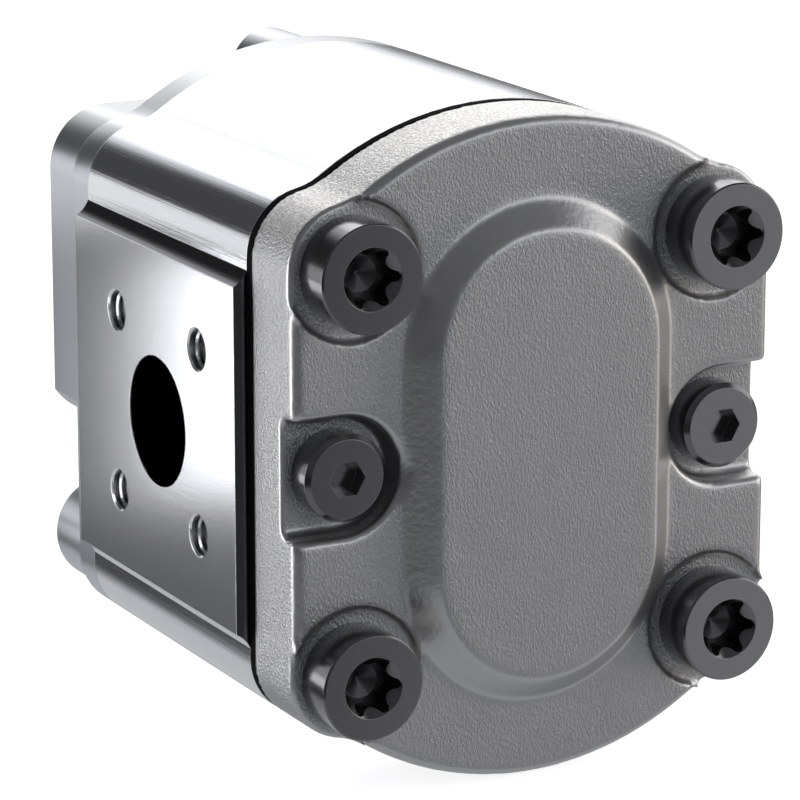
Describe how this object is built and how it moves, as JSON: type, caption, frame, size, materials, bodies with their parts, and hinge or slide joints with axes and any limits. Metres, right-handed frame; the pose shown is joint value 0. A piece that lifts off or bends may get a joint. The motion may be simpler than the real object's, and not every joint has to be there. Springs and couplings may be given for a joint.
{
  "type": "hydraulic gear pump",
  "caption": "External gear pump with a cast rear cover, an aluminium body with square port pads on both sides, a front cover with a round pilot, and a tapered drive shaft.",
  "frame": {"origin": "on the drive shaft's axis in the mounting face", "axes": "+Y along the drive shaft, out of the pump towards the driving machine; +Z from the idler gear's axis up to the drive shaft's axis; +X to the right when looking at the rear cover"},
  "size_m": [0.0838, 0.1348, 0.0995],
  "materials": {
    "body_aluminium": "satin extruded, bright on the port pads",
    "cast_cover": "grey sand-cast skin with a fine grain",
    "cover_aluminium": "smooth and bright",
    "gasket_black": "matt",
    "gear_steel": "ground",
    "block_aluminium": "fine turned",
    "bush_bronze": "coated bronze",
    "seal_rubber": "matt",
    "backup_plastic": "matt",
    "spring_steel": "oiled",
    "zinc_steel": "zinc plated",
    "screw_black": "black oxide, satin"
  },
  "bodies": {
    "housing": {"pump_body": "body_aluminium", "rear_cover": "cast_cover", "front_cover": "cover_aluminium", "rear_gasket": "gasket_black", "front_bearing_block": "block_aluminium", "rear_bearing_block": "block_aluminium", "front_drive_bush": "bush_bronze", "rear_drive_bush": "bush_bronze", "front_idler_bush": "bush_bronze", "rear_idler_bush": "bush_bronze", "front_axial_seal": "seal_rubber", "rear_axial_seal": "seal_rubber", "front_backup_strips": "backup_plastic", "rear_backup_strips": "backup_plastic", "front_body_seal": "seal_rubber", "shaft_seal": "seal_rubber", "seal_retaining_ring": "spring_steel", "pilot_o_ring": "seal_rubber", "corner_screw_1": "screw_black", "corner_screw_2": "screw_black", "corner_screw_3": "screw_black", "corner_screw_4": "screw_black", "side_screw_left": "screw_black", "side_screw_right": "screw_black", "front_dowels": "gear_steel", "rear_dowels": "gear_steel"},
    "drive": {"drive_gear": "gear_steel", "woodruff_key": "spring_steel", "lock_washer": "zinc_steel", "shaft_nut": "zinc_steel"},
    "idler": {"idler_gear": "gear_steel"}
  },
  "joints": [
    {"name": "drive_spin", "type": "hinge", "parent": "housing", "child": "drive", "pos_m": [0, 0, 0], "axis": [0, 1, 0], "continuous": true},
    {"name": "idler_spin", "type": "hinge", "parent": "housing", "child": "idler", "pos_m": [0, 0, -0.0345], "axis": [0, 1, 0], "continuous": true}
  ],
  "couplings": [
    {"joint": "idler_spin", "follows": "drive_spin", "ratio": -1}
  ]
}
